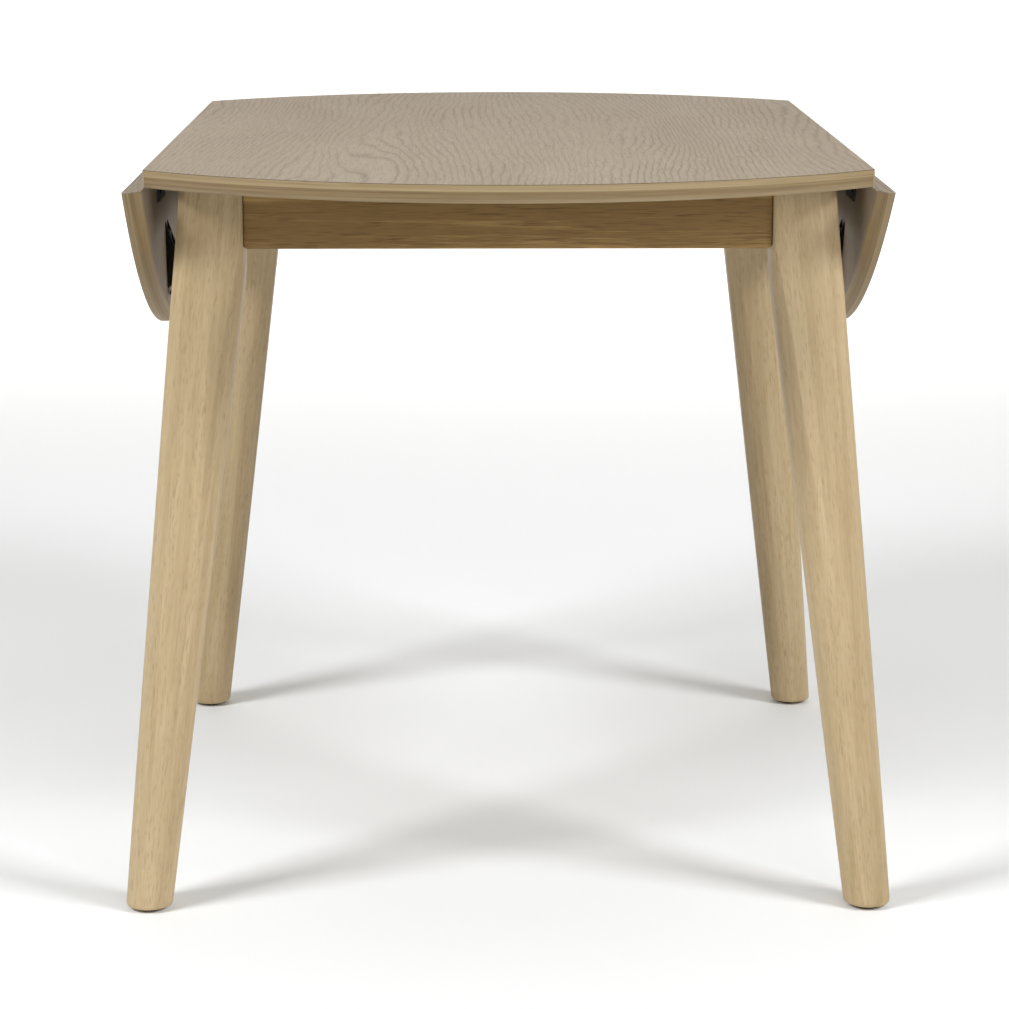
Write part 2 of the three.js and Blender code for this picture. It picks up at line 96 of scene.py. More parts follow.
def add_light(name, location, target, size, watts, colour=(1.0, 1.0, 1.0), spread=180.0):
    data = bpy.data.lights.new(name, "AREA")
    data.shape = "RECTANGLE"
    data.size, data.size_y = size
    data.energy = watts
    data.color = colour
    data.spread = math.radians(spread)
    light = bpy.data.objects.new(name, data)
    light.location = location
    aim = Vector(target) - Vector(location)
    light.rotation_euler = aim.to_track_quat("-Z", "Y").to_euler()
    bpy.context.scene.collection.objects.link(light)


def add_studio():
    world = bpy.data.worlds.new("studio")
    world.use_nodes = True
    sky = world.node_tree.nodes["Background"]
    sky.inputs["Color"].default_value = SKY_COLOUR
    sky.inputs["Strength"].default_value = SKY_STRENGTH
    bpy.context.scene.world = world
    add_light("key_front", (1.3, -3.3, 1.7), (0.0, 0.0, 0.45), (2.0, 1.0), 29.0)
    add_light("side_left", (-2.75, -1.9, 2.8), (0.0, 0.0, 0.4), (1.2, 1.2), 122.0, DAYLIGHT)
    add_light("side_right", (2.85, -1.9, 2.8), (0.0, 0.0, 0.4), (1.2, 1.2), 110.0, DAYLIGHT)
    add_light("overhead", (0.0, 0.4, 3.4), (0.0, 0.0, 0.6), (3.0, 2.4), 28.0, DAYLIGHT)
    # The beam for the sweep behind the table is narrowed to spare the table itself.
    add_light("backdrop", (0.0, 5.0, 3.6), (0.0, 5.2, 0.0), (8.0, 3.4), 195.0, spread=128.0)


def add_floor():
    """A pale sweep: flat under the table, curving up behind it."""
    profile = [(FLOOR_FRONT, 0.0)]
    for i in range(SWEEP_STEPS + 1):
        turn = 0.5 * math.pi * i / SWEEP_STEPS
        reach, height = SWEEP_RADIUS * math.sin(turn), SWEEP_RADIUS * (1.0 - math.cos(turn))
        profile.append((FLOOR_BACK + reach, height))
    profile.append((FLOOR_BACK + SWEEP_RADIUS, SWEEP_HEIGHT))
    mesh = bmesh.new()
    sides = (-FLOOR_HALF_WIDTH, FLOOR_HALF_WIDTH)
    rows = [[mesh.verts.new((x, y, z)) for x in sides] for y, z in profile]
    for near, far in zip(rows, rows[1:]):
        mesh.faces.new((near[0], near[1], far[1], far[0])).smooth = True
    floor = mesh_object("floor", mesh)
    floor.data.materials.append(plain_material("floor_paper", FLOOR_COLOUR, 0.9))


# ---- Meshes -------------------------------------------------------------------------------------

def mesh_object(name, mesh):
    data = bpy.data.meshes.new(name)
    mesh.to_mesh(data)
    mesh.free()
    piece = bpy.data.objects.new(name, data)
    bpy.context.scene.collection.objects.link(piece)
    return piece


def smooth(piece, degrees=30.0):
    for polygon in piece.data.polygons:
        polygon.use_smooth = True
    piece.data.set_sharp_from_angle(angle=math.radians(degrees))


def store_grain(piece, vectors):
    layer = piece.data.attributes.new("grain", "FLOAT_VECTOR", "POINT")
    layer.data.foreach_set("vector", np.asarray(vectors, np.float32).ravel())


def store_mask(piece, name, values):
    layer = piece.data.attributes.new(name, "FLOAT", "POINT")
    layer.data.foreach_set("value", np.asarray(values, np.float32))


def finish_piece(piece, body, slot_name, *materials):
    for material in materials:
        piece.data.materials.append(material)
    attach(piece, body)
    return piece


def stack_rings(mesh, rings):
    """A closed skin over rings of equal length, with a flat cap at each end."""
    loops = [[mesh.verts.new(point) for point in ring] for ring in rings]
    count = len(loops[0])
    for low, high in zip(loops, loops[1:]):
        for i in range(count):
            j = (i + 1) % count
            mesh.faces.new((low[i], low[j], high[j], high[i]))
    mesh.faces.new(loops[0][::-1])
    mesh.faces.new(loops[-1])


# ---- Node graphs --------------------------------------------------------------------------------

class Graph:
    """A short way to write a material's nodes: each method adds one node and returns its output."""

    def __init__(self, name):
        self.material = bpy.data.materials.new(name)
        self.material.use_nodes = True
        self.tree = self.material.node_tree
        self.shader = self.tree.nodes["Principled BSDF"]

    def feed(self, socket, value):
        if isinstance(value, bpy.types.NodeSocket):
            self.tree.links.new(value, socket)
        else:
            socket.default_value = value

    def node(self, kind, inputs=(), **settings):
        made = self.tree.nodes.new(kind)
        for key, value in settings.items():
            setattr(made, key, value)
        for key, value in dict(inputs).items():
            self.feed(made.inputs[key], value)
        return made

    def math(self, operation, first, second=0.0):
        made = self.node("ShaderNodeMath", operation=operation)
        self.feed(made.inputs[0], first)
        self.feed(made.inputs[1], second)
        return made.outputs[0]

    def grain(self):
        return self.node("ShaderNodeAttribute", attribute_name="grain").outputs["Vector"]

    def place(self, turn=(0.0, 0.0, 0.0)):
        """Object coordinates turned so that the grain lies along y."""
        source = self.node("ShaderNodeTexCoord").outputs["Object"]
        inputs = {"Vector": source, "Rotation": turn}
        return self.node("ShaderNodeMapping", inputs).outputs["Vector"]

    def stretch(self, vector, scale, shift=(0.0, 0.0, 0.0)):
        inputs = {"Vector": vector, "Scale": scale, "Location": shift}
        return self.node("ShaderNodeMapping", inputs).outputs["Vector"]

    def noise(self, vector, scale=1.0, detail=2.0, roughness=0.5, distortion=0.0):
        inputs = {"Vector": vector, "Scale": scale, "Detail": detail, "Roughness": roughness,
                  "Distortion": distortion}
        return self.node("ShaderNodeTexNoise", inputs).outputs["Fac"]

    def ramp(self, value, *stops):
        made = self.node("ShaderNodeValToRGB", {"Fac": value})
        points = made.color_ramp.elements
        while len(points) < len(stops):
            points.new(0.5)
        for point, (position, colour) in zip(points, stops):
            point.position = position
            point.color = (*colour, 1.0) if isinstance(colour, tuple) else (colour,) * 3 + (1.0,)
        return made.outputs["Color"]

    def blend(self, share, first, second, mode="MIX"):
        made = self.node("ShaderNodeMix", data_type="RGBA", blend_type=mode)
        self.feed(made.inputs["Factor"], share)
        self.feed(made.inputs["A"], rgba(first))
        self.feed(made.inputs["B"], rgba(second))
        return made.outputs["Result"]

    def bump(self, height, distance, strength=1.0):
        inputs = {"Height": height, "Distance": distance, "Strength": strength}
        normal = self.node("ShaderNodeBump", inputs).outputs["Normal"]
        self.feed(self.shader.inputs["Normal"], normal)


def rgba(colour):
    return (*colour, 1.0) if isinstance(colour, tuple) and len(colour) == 3 else colour


def plain_material(name, colour, roughness):
    graph = Graph(name)
    graph.shader.inputs["Base Color"].default_value = rgba(colour)
    graph.shader.inputs["Roughness"].default_value = roughness
    return graph.material


# ---- Wood ---------------------------------------------------------------------------------------

VENEER_PALE, VENEER_DARK = (0.372, 0.306, 0.232), (0.325, 0.26, 0.191)
VENEER_FIBRE = (0.40, 0.336, 0.262)
VENEER_LINE = (0.20, 0.152, 0.108)
VENEER_PORE = (0.19, 0.15, 0.115)
VENEER_SPOT = (0.29, 0.215, 0.135)
VENEER_EDGE = (0.09, 0.06, 0.035)
LIPPING_TONES = ((0.34, (0.19, 0.128, 0.058)), (0.5, (0.285, 0.205, 0.103)),
                 (0.66, (0.345, 0.26, 0.143)))
# Multiplied over the lipping's bevel: partly the browner cut wood, partly painted shade where the
# bevel turns downwards.
LIPPING_BEVEL_CUT_AND_SHADE = (0.74, 0.68, 0.57)
# Pale wood, dark wood and open pores of the solid pieces.
LEG_OAK = ((0.545, 0.42, 0.252), (0.40, 0.293, 0.158), (0.27, 0.185, 0.095))
# The aprons' oak is darker and more saturated than the legs': partly a browner wood, partly painted
# shade for the deep shade under the top's overhang.
APRON_OAK_AND_SHADE = ((0.51, 0.335, 0.125), (0.238, 0.142, 0.048), (0.07, 0.036, 0.012))
BLOCK_PINE = ((0.56, 0.42, 0.25), (0.44, 0.31, 0.17), (0.3, 0.2, 0.1))
COARSE_PORES = (720.0, 85.0)  # pores to a metre, across the grain and along it
FINE_PORES = (1150.0, 32.0)


def solid_oak(name, vector_of, tones, seed, contrast=1.0, pore_share=0.5, pores=COARSE_PORES):
    """Solid wood with the grain along y: broad tone, soft ring streaks, fibres and dark pores."""
    pale, dark, pore = tones
    wide, long = pores
    graph = Graph(name)
    vector = vector_of(graph)
    shift = (seed, seed * 1.7, seed * 0.6)
    broad = graph.noise(graph.stretch(vector, (9.0, 1.1, 9.0), shift), 1.0, 2.0)
    rings = graph.noise(graph.stretch(vector, (75.0, 2.2, 75.0), shift), 1.0, 3.0, 0.6, 0.5)
    fibre = graph.noise(graph.stretch(vector, (430.0, 17.0, 430.0), shift), 1.0, 3.0, 0.65)
    dashes = graph.noise(graph.stretch(vector, (wide, long, wide), shift), 1.0, 1.0, 0.5)
    clusters = graph.noise(graph.stretch(vector, (110.0, 9.0, 110.0), shift), 1.0, 2.0)
    tone = graph.math("ADD", graph.math("MULTIPLY", broad, 0.42),
                      graph.math("MULTIPLY", rings, 0.36))
    tone = graph.math("ADD", tone, graph.math("MULTIPLY", fibre, 0.22))
    spread = 0.17 / contrast
    base = graph.ramp(tone, (0.5 - spread, dark), (0.5 + spread, pale))
    open_pores = graph.ramp(dashes, (0.54, 0.0), (0.68, 1.0))
    dense = graph.ramp(clusters, (0.36, 0.25), (0.66, 0.9))
    pitting = graph.math("MULTIPLY", open_pores, dense)
    colour = graph.blend(graph.math("MULTIPLY", pitting, pore_share), base, pore)
    graph.feed(graph.shader.inputs["Base Color"], colour)
    graph.feed(graph.shader.inputs["Roughness"], graph.ramp(fibre, (0.3, 0.46), (0.7, 0.6)))
    graph.shader.inputs["Specular IOR Level"].default_value = 0.25
    height = graph.math("SUBTRACT", graph.math("MULTIPLY", fibre, 0.35), pitting)
    graph.bump(height, 0.00018, 0.7)
    return graph.material


def oak_veneer(name, seed):
    """Crown-cut oak veneer, limed to a greige: fine ring lines that wander along the grain and
    close to loops here and there. Its edge at the rim, masked by "rim", is a dark line."""
    graph = Graph(name)
    parts = graph.node("ShaderNodeSeparateXYZ", {"Vector": graph.grain()}).outputs
    across = graph.math("ADD", parts["X"], parts["Z"])
    flat = graph.node("ShaderNodeCombineXYZ", {"X": across, "Y": parts["Y"], "Z": seed})
    flat = flat.outputs["Vector"]
    field = graph.noise(graph.stretch(flat, (4.2, 1.0, 1.0)), 1.0, 0.6, 0.4)
    spacing = graph.noise(graph.stretch(flat, (17.0, 1.3, 1.0)), 1.0, 1.0, 0.5)
    wobble = graph.noise(graph.stretch(flat, (24.0, 10.0, 1.0)), 1.0, 2.6, 0.55)
    level = graph.math("ADD", graph.math("MULTIPLY", field, 25.0),
                       graph.math("MULTIPLY", wobble, 1.7))
    level = graph.math("ADD", level, graph.math("MULTIPLY", spacing, 5.0))
    level = graph.math("ADD", level, graph.math("MULTIPLY", across, 122.0))
    ring = graph.math("FRACT", level)
    line = graph.ramp(ring, (0.0, 0.85), (0.1, 0.3), (0.3, 0.0), (0.8, 0.1), (1.0, 0.85))
    strength = graph.ramp(graph.noise(graph.stretch(flat, (9.0, 4.0, 1.0)), 1.0, 3.0),
                          (0.35, 0.25), (0.62, 1.0))
    fibre = graph.noise(graph.stretch(flat, (560.0, 14.0, 1.0)), 1.0, 3.0, 0.65)
    dashes = graph.noise(graph.stretch(flat, (640.0, 34.0, 1.0)), 1.0, 1.0)
    broad = graph.noise(graph.stretch(flat, (7.0, 1.4, 1.0)), 1.0, 2.0)
    base = graph.ramp(broad, (0.32, VENEER_DARK), (0.68, VENEER_PALE))
    base = graph.blend(graph.math("MULTIPLY", fibre, 0.3), base, VENEER_FIBRE)
    lines = graph.math("MULTIPLY", graph.math("MULTIPLY", line, strength), 0.8)
    colour = graph.blend(lines, base, VENEER_LINE)
    pores = graph.math("MULTIPLY", graph.ramp(dashes, (0.56, 0.0), (0.68, 1.0)), 0.35)
    colour = graph.blend(pores, colour, VENEER_PORE)
    spots = graph.ramp(graph.noise(graph.stretch(flat, (14.0, 5.0, 1.0)), 1.0, 1.0),
                       (0.70, 0.0), (0.80, 1.0))
    colour = graph.blend(graph.math("MULTIPLY", spots, 0.35), colour, VENEER_SPOT)
    rim = graph.node("ShaderNodeAttribute", attribute_name="rim").outputs["Fac"]
    colour = graph.blend(rim, colour, VENEER_EDGE)
    graph.feed(graph.shader.inputs["Base Color"], colour)
    graph.feed(graph.shader.inputs["Roughness"], graph.ramp(fibre, (0.3, 0.5), (0.7, 0.7)))
    graph.shader.inputs["Specular IOR Level"].default_value = 0.15
    height = graph.math("SUBTRACT", graph.math("MULTIPLY", fibre, 0.4), lines)
    graph.bump(height, 0.00012, 0.6)
    return graph.material


def edge_lipping(name, seed):
    """Oak lipping bent round the rim, its streaks running along the edge."""
    graph = Graph(name)
    vector = graph.grain()
    shift = (seed, seed * 1.3, seed)
    streak = graph.noise(graph.stretch(vector, (260.0, 1.6, 260.0), shift), 1.0, 3.0, 0.6, 0.2)
    fibre = graph.noise(graph.stretch(vector, (900.0, 18.0, 900.0), shift), 1.0, 2.0, 0.6)
    tone = graph.math("ADD", graph.math("MULTIPLY", streak, 0.7),
                      graph.math("MULTIPLY", fibre, 0.3))
    colour = graph.ramp(tone, *LIPPING_TONES)
    rise = graph.node("ShaderNodeSeparateXYZ", {"Vector": vector}).outputs["Z"]
    share = graph.math("DIVIDE", graph.math("SUBTRACT", rise, UNDERSIDE_Z), BEVEL_HEIGHT)
    # Darkens the bevel most from about six tenths of its height up to its top, and least at its
    # foot: partly the cut wood's own brown, partly painted shade.
    cut = graph.ramp(share, (0.0, 0.0), (0.3, 0.3), (0.6, 0.75), (1.0, 0.75), (1.04, 0.0))
    colour = graph.blend(cut, colour, LIPPING_BEVEL_CUT_AND_SHADE, "MULTIPLY")
    graph.feed(graph.shader.inputs["Base Color"], colour)
    graph.feed(graph.shader.inputs["Roughness"], graph.ramp(fibre, (0.3, 0.42), (0.7, 0.55)))
    graph.shader.inputs["Specular IOR Level"].default_value = 0.4
    graph.bump(tone, 0.00012, 0.5)
    return graph.material


# ---- Metal and plastic --------------------------------------------------------------------------

def zinc_steel():
    graph = Graph("zinc_steel")
    vector = graph.place()
    cloud = graph.noise(vector, 140.0, 3.0, 0.6)
    brushed = graph.noise(graph.stretch(vector, (300.0, 4000.0, 300.0)), 1.0, 2.0)
    colour = graph.ramp(cloud, (0.3, (0.50, 0.50, 0.50)), (0.7, (0.66, 0.66, 0.65)))
    graph.feed(graph.shader.inputs["Base Color"], colour)
    graph.shader.inputs["Metallic"].default_value = 1.0
    graph.feed(graph.shader.inputs["Roughness"], graph.ramp(cloud, (0.3, 0.28), (0.7, 0.42)))
    graph.bump(brushed, 0.00003, 0.4)
    return graph.material


def black_coat(name, roughness, grain_size, depth=1.0):
    """Powder coat, moulded plastic or dull steel: a fine pebbled skin, paler where it is rubbed."""
    graph = Graph(name)
    vector = graph.place()
    pebble = graph.noise(vector, grain_size, 2.0, 0.5)
    rub = graph.noise(vector, 60.0, 4.0, 0.7)
    dark, worn = 0.0025 * depth, 0.01 * depth
    colour = graph.ramp(rub, (0.55, (dark, dark, dark)), (0.8, (worn, worn, worn)))
    graph.feed(graph.shader.inputs["Base Color"], colour)
    low, high = roughness
    graph.feed(graph.shader.inputs["Roughness"], graph.ramp(rub, (0.3, high), (0.7, low)))
    graph.shader.inputs["Specular IOR Level"].default_value = 0.25
    graph.bump(pebble, 0.00008, 0.5)
    return graph.material


# ---- Top and leaves -----------------------------------------------------------------------------

ARC_STEPS = 160
SKIN = 0.0007  # veneer, laid over board and lipping
SKIN_IN = 0.0005  # from the rim to the veneer's edge
ARRIS = 0.0003
BEVEL_IN = 0.0062
BEVEL_HEIGHT = 0.0115
LIPPING_GAP = 0.0003
BAND = 0.0011  # veneer strip glued over a joint edge, lipping ends included
BAND_GAP = 0.0001
LEAF_JOINT_GAP = 0.0006
RIM_BELLY = 0.42  # share of the bevel where its slope turns
RIM_CORNERS = (0.0003, 0.0012, 0.002, 0.0012, 0.0006, 0.0003)
BAND_CORNERS = (0.0012, 0.0012, 0.0004, 0.0004, 0.0012, 0.0012)
BAND_SOFT_DEPTH, BAND_SOFT_INSET = 0.0006, 0.0007  # its softened outer edge


def arc_angles(x_low, x_high, radius):
    """Angles from +X, front to rear on the right, where a circle runs between two X limits."""
    end = math.acos(min(x_low / radius, 1.0))
    if x_high >= radius:
        return [[-end + 2.0 * end * i / ARC_STEPS for i in range(ARC_STEPS + 1)]]
    start = math.acos(x_high / radius)
    rear = [start + (end - start) * i / ARC_STEPS for i in range(ARC_STEPS + 1)]
    return [[-angle for angle in reversed(rear)], rear]


def plan_outline(x_low, x_high, radius):
    """The part of a disc between two X limits, as points in plan."""
    angles = sum(arc_angles(x_low, x_high, radius), [])
    return [(radius * math.cos(angle), radius * math.sin(angle)) for angle in angles]


def board_mesh(name, x_low, x_high):
    """A board with its veneer reaching over the lipping; the veneer below lies crossways."""
    core_z = TOP_Z - SKIN
    low, high = x_low + BAND + BAND_GAP, x_high - BAND - BAND_GAP
    skin = TOP_RADIUS - SKIN_IN
    rings = [
        [(x, y, UNDERSIDE_Z) for x, y in plan_outline(low, high, BOARD_RADIUS)],
        [(x, y, core_z) for x, y in plan_outline(low, high, BOARD_RADIUS)],
        [(x, y, core_z) for x, y in plan_outline(x_low, x_high, skin)],
        [(x, y, TOP_Z - ARRIS) for x, y in plan_outline(x_low, x_high, skin)],
        [(x, y, TOP_Z) for x, y in plan_outline(x_low + ARRIS, x_high - ARRIS, skin - ARRIS)],
    ]
    mesh = bmesh.new()
    stack_rings(mesh, rings)
    piece = mesh_object(name, mesh)
    places = [Vector(vertex.co) for vertex in piece.data.vertices]
    crossed = UNDERSIDE_Z + 0.5 * SKIN
    store_grain(piece, [v if v.z > crossed else Vector((v.y + 3.0, v.x, v.z)) for v in places])
    store_mask(piece, "rim", [float(math.hypot(v.x, v.y) > skin - 0.5 * ARRIS) for v in places])
    smooth(piece)
    return piece


def rounded(points, radii, steps=4):
    """A closed outline with each corner cut back to an arc of about its radius."""
    result = []
    count = len(points)
    for i, corner in enumerate(points):
        corner = Vector(corner)
        before = (Vector(points[i - 1]) - corner).normalized()
        after = (Vector(points[(i + 1) % count]) - corner).normalized()
        start, end = corner + before * radii[i], corner + after * radii[i]
        for step in range(steps + 1):
            share = step / steps
            curve = start.lerp(corner, share).lerp(corner.lerp(end, share), share)
            result.append((curve.x, curve.y))
    return result


def rim_section(inner, rim):
    """Section of the bevelled edge from an inner radius to the rim, under the veneer."""
    corners = [(inner, UNDERSIDE_Z), (rim - BEVEL_IN, UNDERSIDE_Z),
               (rim - RIM_BELLY * BEVEL_IN, UNDERSIDE_Z + RIM_BELLY * BEVEL_HEIGHT),
               (rim, UNDERSIDE_Z + BEVEL_HEIGHT), (rim, TOP_Z - SKIN), (inner, TOP_Z - SKIN)]
    return corners, RIM_CORNERS


def lipping_mesh(name, x_low, x_high, front):
    """The bent lipping of a board: one section swept round the rim, cut square at the X limits."""
    section = rounded(*rim_section(BOARD_RADIUS + LIPPING_GAP, TOP_RADIUS))
    is_leaf = x_high >= TOP_RADIUS
    low = x_low + BAND + BAND_GAP
    high = x_high - BAND - BAND_GAP
    rings, grain = [], []
    for i in range(ARC_STEPS + 1):
        ring = []
        for radius, z in section:
            first = math.acos(low / radius)
            last = -first if is_leaf else math.acos(high / radius)
            angle = first + (last - first) * i / ARC_STEPS
            side = -1.0 if front else 1.0
            ring.append((radius * math.cos(angle), side * radius * math.sin(angle), z))
            grain.append((radius, TOP_RADIUS * angle, z))
        rings.append(ring if front else ring[::-1])
        if not front:
            grain[-len(section):] = grain[-len(section):][::-1]
    mesh = bmesh.new()
    stack_rings(mesh, rings)
    bmesh.ops.recalc_face_normals(mesh, faces=mesh.faces)
    piece = mesh_object(name, mesh)
    store_grain(piece, grain)
    smooth(piece)
    return piece


def band_mesh(name, edge_x, facing):
    """The veneer strip over a joint edge, shaped like the board's full section there."""
    rings = []
    for depth, inset in ((BAND, 0.0), (BAND_SOFT_DEPTH, 0.0), (0.0, BAND_SOFT_INSET)):
        x = edge_x - facing * depth
        reach = math.sqrt(TOP_RADIUS ** 2 - x ** 2) - inset
        slant = reach / TOP_RADIUS
        half = [(reach - BEVEL_IN / slant, UNDERSIDE_Z + inset),
                (reach, UNDERSIDE_Z + BEVEL_HEIGHT), (reach, TOP_Z - SKIN - 0.3 * inset)]
        outline = half + [(-y, z) for y, z in reversed(half)]
        rings.append([(x, y, z) for y, z in rounded(outline, BAND_CORNERS)])
    mesh = bmesh.new()
    stack_rings(mesh, rings)
    bmesh.ops.recalc_face_normals(mesh, faces=mesh.faces)
    piece = mesh_object(name, mesh)
    store_grain(piece, [(v.co.z, v.co.y + 2.0, 0.0) for v in piece.data.vertices])
    smooth(piece)
    return piece


def hang(piece, side):
    """Turns a leaf piece from level, on +X, to where the leaf hangs at rest."""
    joint = JOINTS[f"leaf_{side}_hinge"]
    pivot = Vector(joint["pos_m"])
    turn = math.radians(joint["range_deg"][1])
    if side == "left":
        piece.data.transform(Matrix.Rotation(math.pi, 4, "Z"))
    swing = Matrix.Rotation(-turn, 4, Vector(joint["axis"]))
    piece.data.transform(Matrix.Translation(pivot) @ swing @ Matrix.Translation(-pivot))


def add_top(veneer, lipping, banding):
    panel = board_mesh("top_panel_veneered", -HINGE_LINE_X, HINGE_LINE_X)
    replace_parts(finish_piece(panel, "frame", "oak_veneer", veneer), "top_panel")
    for end, front in (("front", True), ("rear", False)):
        strip = lipping_mesh(f"top_lipping_{end}_bent", -HINGE_LINE_X, HINGE_LINE_X, front)
        finish_piece(strip, "frame", "oak_lipping", lipping)
        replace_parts(strip, f"top_lipping_{end}")
    for side, facing in (("left", -1), ("right", 1)):
        band = band_mesh(f"top_banding_{side}", facing * HINGE_LINE_X, facing)
        finish_piece(band, "frame", "oak_veneer", banding)


def add_leaf(side, veneer, lipping, banding):
    body = f"leaf_{side}"
    joint_edge = HINGE_LINE_X + LEAF_JOINT_GAP
    board = board_mesh(f"{body}_veneered", joint_edge, 1.0)
    strip = lipping_mesh(f"leaf_lipping_{side}_bent", joint_edge, 1.0, True)
    band = band_mesh(f"leaf_banding_{side}", joint_edge, -1)
    for piece in (board, strip, band):
        hang(piece, side)
    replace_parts(finish_piece(board, body, "oak_veneer", veneer), body)
    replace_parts(finish_piece(strip, body, "oak_lipping", lipping), f"leaf_lipping_{side}")
    finish_piece(band, body, "oak_veneer", banding)


# ---- Legs ---------------------------------------------------------------------------------------

LEG_INNER = Vector((0.2609, 0.2672))  # inner faces between the aprons
LEG_KNEE_CENTRE = Vector((0.2928, 0.2991))
LEG_FOOT_CENTRE = Vector((0.3647, 0.3734))
KNEE_WIDTH, FOOT_WIDTH = 0.071, 0.047
LEG_BOW = 0.0012
EDGE_RADIUS = 0.003
KNEE_OUTER_RADIUS, TOP_OUTER_RADIUS = 0.011, 0.007
CORNER_GROWTH = 0.55
CORNER_FLATNESS = 0.6  # how close a corner is to a chamfer, at the knee
CORNER_STEPS = 12
APRON_BOTTOM_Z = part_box("apron_front")[0].z
LEG_BOTTOM_Z, LEG_TOP_Z = (corner.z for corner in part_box("leg_front_left"))


def mix(low, high, share):
    return low + (high - low) * share


def leg_section(z):
    """Low and high corners of a leg's section at a height, and its corner radii."""
    share = z / APRON_BOTTOM_Z
    half = 0.5 * (mix(FOOT_WIDTH, KNEE_WIDTH, share) + 4.0 * LEG_BOW * share * (1.0 - share))
    centre = mix(LEG_FOOT_CENTRE, LEG_KNEE_CENTRE, share)
    low = Vector((max(centre.x - half, LEG_INNER.x), max(centre.y - half, LEG_INNER.y)))
    high = centre + Vector((half, half))
    corner = mix(EDGE_RADIUS, half, max(1.0 - share, 0.0) ** CORNER_GROWTH)
    rise = max(z - APRON_BOTTOM_Z, 0.0) / (LEG_TOP_Z - APRON_BOTTOM_Z)
    outer = max(corner, mix(KNEE_OUTER_RADIUS, TOP_OUTER_RADIUS, rise))
    return low, high, corner, outer


def leg_ring(z, inset):
    """A leg's outline at a height, starting at the corner that faces away from the table."""
    low, high, corner, outer = leg_section(z)
    widest = 0.5 * min(high.x - low.x, high.y - low.y) - inset
    rise = min(max(z / APRON_BOTTOM_Z - 0.15, 0.0) / 0.7, 1.0)
    flatness = CORNER_FLATNESS * rise
    ring = []
    for quarter in range(4):
        radius = min(max((outer if quarter == 0 else corner) - inset, 0.001), widest)
        x = high.x - inset - radius if quarter in (0, 3) else low.x + inset + radius
        y = high.y - inset - radius if quarter < 2 else low.y + inset + radius
        for step in range(CORNER_STEPS + 1):
            turned = mix(0.02, 0.98, step / CORNER_STEPS)
            angle = 0.5 * math.pi * turned
            arc, chamfer = Vector((math.cos(angle), math.sin(angle))), Vector((1 - turned, turned))
            local = mix(arc, chamfer, flatness) * radius
            local.rotate(Matrix.Rotation(0.5 * math.pi * quarter, 2))
            ring.append(Vector((x, y)) + local)
    return ring


def leg_levels():
    """Heights and insets of a leg's rings: a rounded foot, the tapered post, a soft top edge."""
    foot_round, foot_steps, post_steps, top_edge = 0.004, 5, 60, 0.0006
    levels = []
    for step in range(foot_steps + 1):
        turn = 0.5 * math.pi * step / foot_steps
        rise = foot_round * (1.0 - math.cos(turn))
        levels.append((LEG_BOTTOM_Z + rise, foot_round * (1.0 - math.sin(turn))))
    start = LEG_BOTTOM_Z + 1.6 * foot_round
    levels += [(mix(start, APRON_BOTTOM_Z, i / post_steps), 0.0) for i in range(post_steps + 1)]
    levels += [(mix(APRON_BOTTOM_Z, LEG_TOP_Z - top_edge, i / 6), 0.0) for i in range(1, 7)]
    levels.append((LEG_TOP_Z, top_edge))
    return levels


def add_leg(place, material):
    sign = Vector((1 if "right" in place else -1, 1 if "rear" in place else -1))
    mesh = bmesh.new()
    rings, grain = [], []
    for z, inset in leg_levels():
        centre = mix(LEG_FOOT_CENTRE, LEG_KNEE_CENTRE, z / APRON_BOTTOM_Z)
        ring = leg_ring(z, inset)
        rings.append([(p.x * sign.x, p.y * sign.y, z) for p in ring])
        grain += [((p.x - centre.x) * sign.x, z, (p.y - centre.y) * sign.y) for p in ring]
    stack_rings(mesh, rings)
    bmesh.ops.recalc_face_normals(mesh, faces=mesh.faces)
    leg = mesh_object(f"leg_{place}_turned", mesh)
    offset = Vector((PLACES.index(place) * 0.37, PLACES.index(place) * 1.9, 0.0))
    store_grain(leg, [Vector(point) + offset for point in grain])
    smooth(leg, 40.0)
    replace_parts(finish_piece(leg, "frame", "oak_leg", material), f"leg_{place}")


# ---- CAD nodes that keep their shape ------------------------------------------------------------

APRON_CONTRAST, APRON_PORE_SHARE = 2.8, 0.75
APRON_EDGE = 0.0015
BEVEL_FROM = 35.0  # degrees between faces, from which an edge is softened


def keep_node(name, material, edge, segments=2):
    """Gives a CAD node its material and soft edges. The mesh itself isn't changed."""
    node = NODES[name]
    node.data.materials.clear()
    node.data.materials.append(material)
    for polygon in node.data.polygons:
        polygon.use_smooth = True
    custom = node.data.attributes.get("custom_normal")
    if custom:
        node.data.attributes.remove(custom)
    weld = node.modifiers.new("weld", "WELD")
    weld.merge_threshold = 0.00001
    flatten = node.modifiers.new("flatten", "DECIMATE")
    flatten.decimate_type = "DISSOLVE"
    flatten.angle_limit = math.radians(1.0)
    bevel = node.modifiers.new("soft_edges", "BEVEL")
    bevel.width = edge
    bevel.segments = segments
    bevel.limit_method = "ANGLE"
    bevel.angle_limit = math.radians(BEVEL_FROM)
    bevel.harden_normals = True


